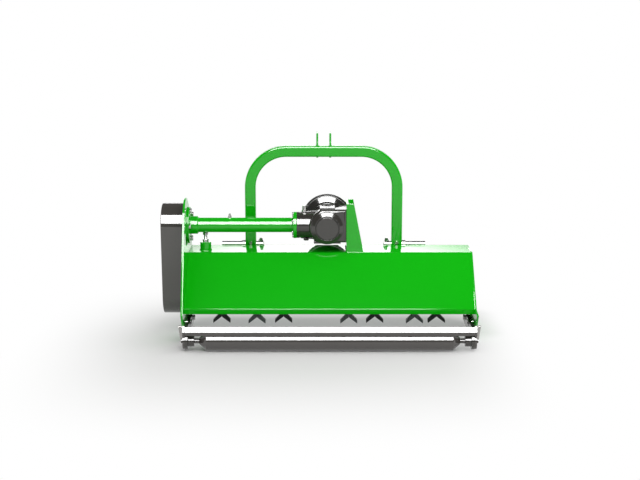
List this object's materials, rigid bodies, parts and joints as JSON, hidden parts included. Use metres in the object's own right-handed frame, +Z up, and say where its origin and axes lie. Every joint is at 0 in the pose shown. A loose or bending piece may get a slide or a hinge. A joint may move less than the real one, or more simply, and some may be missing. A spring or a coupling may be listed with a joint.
{
  "type": "flail mower",
  "caption": "Rear-mounted flail mower with green hood, belt-driven rotor with swinging knives, gearbox, bent-tube headstock and rear roller.",
  "frame": {"origin": "on the ground under the middle of the machine's box", "axes": "+X to the right seen from behind, along the working width; +Y towards the tractor; +Z up"},
  "size_m": [1.2762, 0.5849, 0.793],
  "materials": {
    "green_paint": "gloss",
    "graphite_paint": "gloss",
    "cast_metal": "satin",
    "black_plastic": "gloss",
    "plated_steel": "bright",
    "bare_steel": "satin",
    "blade_steel": "dark",
    "belt_rubber": "matte"
  },
  "bodies": {
    "deck": {"hood_sheet": "green_paint", "left_side_plate": "green_paint", "right_side_plate": "green_paint", "skids": "bare_steel", "headstock_tube": "green_paint", "top_link_plates": "green_paint", "hitch_pin_left": "plated_steel", "hitch_pin_right": "plated_steel", "linch_pins": "plated_steel", "gearbox_housing": "cast_metal", "gearbox_rear_cover": "cast_metal", "gearbox_bearings": "bare_steel", "gearbox_bracket": "green_paint", "breather_plug": "plated_steel", "pto_guard": "black_plastic", "drive_tube": "green_paint", "grease_nipple": "plated_steel", "tension_post": "green_paint", "tension_nut": "plated_steel", "belt_cover": "graphite_paint", "v_belts": "belt_rubber", "rotor_bearings": "cast_metal", "rotor_end_cap": "cast_metal", "flap_rod": "green_paint", "m12_bolts": "plated_steel", "m8_bolts": "plated_steel"},
    "input_shaft": {"input_shaft": "bare_steel", "input_gear": "bare_steel"},
    "output_shaft": {"output_shaft": "bare_steel", "output_pinion": "bare_steel", "drive_pulley": "cast_metal"},
    "rotor": {"rotor_drum": "blade_steel", "rotor_lugs": "blade_steel", "knife_bolts": "plated_steel", "rotor_pulley": "cast_metal"},
    "roller_frame": {"roller_arm_left": "graphite_paint", "roller_arm_right": "graphite_paint", "roller_bearings": "cast_metal", "scraper_bar": "graphite_paint"},
    "roller": {"roller": "graphite_paint"},
    "tension_bolt": {"tension_bolt": "plated_steel"},
    "linch_ring_left": {"linch_ring_left": "plated_steel"},
    "linch_ring_right": {"linch_ring_right": "plated_steel"},
    "knife_1": {"knife_1": "blade_steel"},
    "knife_2": {"knife_2": "blade_steel"},
    "knife_3": {"knife_3": "blade_steel"},
    "knife_4": {"knife_4": "blade_steel"},
    "knife_5": {"knife_5": "blade_steel"},
    "knife_6": {"knife_6": "blade_steel"},
    "knife_7": {"knife_7": "blade_steel"},
    "knife_8": {"knife_8": "blade_steel"},
    "knife_9": {"knife_9": "blade_steel"},
    "knife_10": {"knife_10": "blade_steel"},
    "knife_11": {"knife_11": "blade_steel"},
    "knife_12": {"knife_12": "blade_steel"},
    "knife_13": {"knife_13": "blade_steel"},
    "flap_1": {"flap_1": "green_paint"},
    "flap_2": {"flap_2": "green_paint"},
    "flap_3": {"flap_3": "green_paint"},
    "flap_4": {"flap_4": "green_paint"}
  },
  "joints": [
    {"name": "rotor_spin", "type": "hinge", "parent": "deck", "child": "rotor", "pos_m": [0.0446, 0.0835, 0.148], "axis": [1, 0, 0], "continuous": true},
    {"name": "output_spin", "type": "hinge", "parent": "deck", "child": "output_shaft", "pos_m": [0.0446, 0.0795, 0.434], "axis": [1, 0, 0], "continuous": true},
    {"name": "input_spin", "type": "hinge", "parent": "deck", "child": "input_shaft", "pos_m": [0.0366, 0.0795, 0.434], "axis": [0, 1, 0], "continuous": true},
    {"name": "roller_height", "type": "hinge", "parent": "deck", "child": "roller_frame", "pos_m": [0.0446, 0.0575, 0.05], "axis": [1, 0, 0], "range_deg": [-6, 6]},
    {"name": "roller_spin", "type": "hinge", "parent": "roller_frame", "child": "roller", "pos_m": [0.0446, -0.2545, 0.038], "axis": [1, 0, 0], "continuous": true},
    {"name": "tension_screw", "type": "slide", "parent": "deck", "child": "tension_bolt", "axis": [0, 0, 1], "range_m": [-0.01, 0]},
    {"name": "ring_right_flip", "type": "hinge", "parent": "deck", "child": "linch_ring_right", "pos_m": [0.2851, 0.21, 0.34999], "axis": [0.5736, 0.8192, 0], "range_deg": [0, 95]},
    {"name": "ring_left_flip", "type": "hinge", "parent": "deck", "child": "linch_ring_left", "pos_m": [-0.2399, 0.21, 0.34999], "axis": [0.5736, -0.8192, 0], "range_deg": [0, 95]},
    {"name": "knife_1_swing", "type": "hinge", "parent": "rotor", "child": "knife_1", "pos_m": [-0.46938, 0.13949, 0.14898], "axis": [1, 0, 0], "range_deg": [-34, 216]},
    {"name": "knife_2_swing", "type": "hinge", "parent": "rotor", "child": "knife_2", "pos_m": [-0.39546, 0.03878, 0.1143], "axis": [1, 0, 0], "range_deg": [-178, 72]},
    {"name": "knife_3_swing", "type": "hinge", "parent": "rotor", "child": "knife_3", "pos_m": [-0.32487, 0.03763, 0.18012], "axis": [1, 0, 0], "range_deg": [-250, 0]},
    {"name": "knife_4_swing", "type": "hinge", "parent": "rotor", "child": "knife_4", "pos_m": [-0.25451, 0.10173, 0.09505], "axis": [1, 0, 0], "range_deg": [-106, 144]},
    {"name": "knife_5_swing", "type": "hinge", "parent": "rotor", "child": "knife_5", "pos_m": [-0.1422, 0.03878, 0.1143], "axis": [1, 0, 0], "range_deg": [-178, 72]},
    {"name": "knife_6_swing", "type": "hinge", "parent": "rotor", "child": "knife_6", "pos_m": [-0.05338, 0.13949, 0.14898], "axis": [1, 0, 0], "range_deg": [-34, 216]},
    {"name": "knife_7_swing", "type": "hinge", "parent": "rotor", "child": "knife_7", "pos_m": [0.03658, 0.03763, 0.18012], "axis": [1, 0, 0], "range_deg": [-250, 0]},
    {"name": "knife_8_swing", "type": "hinge", "parent": "rotor", "child": "knife_8", "pos_m": [0.12665, 0.10173, 0.09505], "axis": [1, 0, 0], "range_deg": [-106, 144]},
    {"name": "knife_9_swing", "type": "hinge", "parent": "rotor", "child": "knife_9", "pos_m": [0.2314, 0.03878, 0.1143], "axis": [1, 0, 0], "range_deg": [-178, 72]},
    {"name": "knife_10_swing", "type": "hinge", "parent": "rotor", "child": "knife_10", "pos_m": [0.31563, 0.13949, 0.14898], "axis": [1, 0, 0], "range_deg": [-34, 216]},
    {"name": "knife_11_swing", "type": "hinge", "parent": "rotor", "child": "knife_11", "pos_m": [0.39986, 0.10173, 0.09505], "axis": [1, 0, 0], "range_deg": [-106, 144]},
    {"name": "knife_12_swing", "type": "hinge", "parent": "rotor", "child": "knife_12", "pos_m": [0.48466, 0.03878, 0.1143], "axis": [1, 0, 0], "range_deg": [-178, 72]},
    {"name": "knife_13_swing", "type": "hinge", "parent": "rotor", "child": "knife_13", "pos_m": [0.55858, 0.13949, 0.14898], "axis": [1, 0, 0], "range_deg": [-34, 216]},
    {"name": "flap_1_swing", "type": "hinge", "parent": "deck", "child": "flap_1", "pos_m": [0.0446, 0.2675, 0.178], "axis": [1, 0, 0], "range_deg": [-25, 70]},
    {"name": "flap_2_swing", "type": "hinge", "parent": "deck", "child": "flap_2", "pos_m": [0.0446, 0.2675, 0.178], "axis": [1, 0, 0], "range_deg": [-25, 70]},
    {"name": "flap_3_swing", "type": "hinge", "parent": "deck", "child": "flap_3", "pos_m": [0.0446, 0.2675, 0.178], "axis": [1, 0, 0], "range_deg": [-25, 70]},
    {"name": "flap_4_swing", "type": "hinge", "parent": "deck", "child": "flap_4", "pos_m": [0.0446, 0.2675, 0.178], "axis": [1, 0, 0], "range_deg": [-25, 70]}
  ],
  "couplings": [
    {"joint": "output_spin", "follows": "rotor_spin", "ratio": 0.53846},
    {"joint": "input_spin", "follows": "rotor_spin", "ratio": -0.26923}
  ]
}
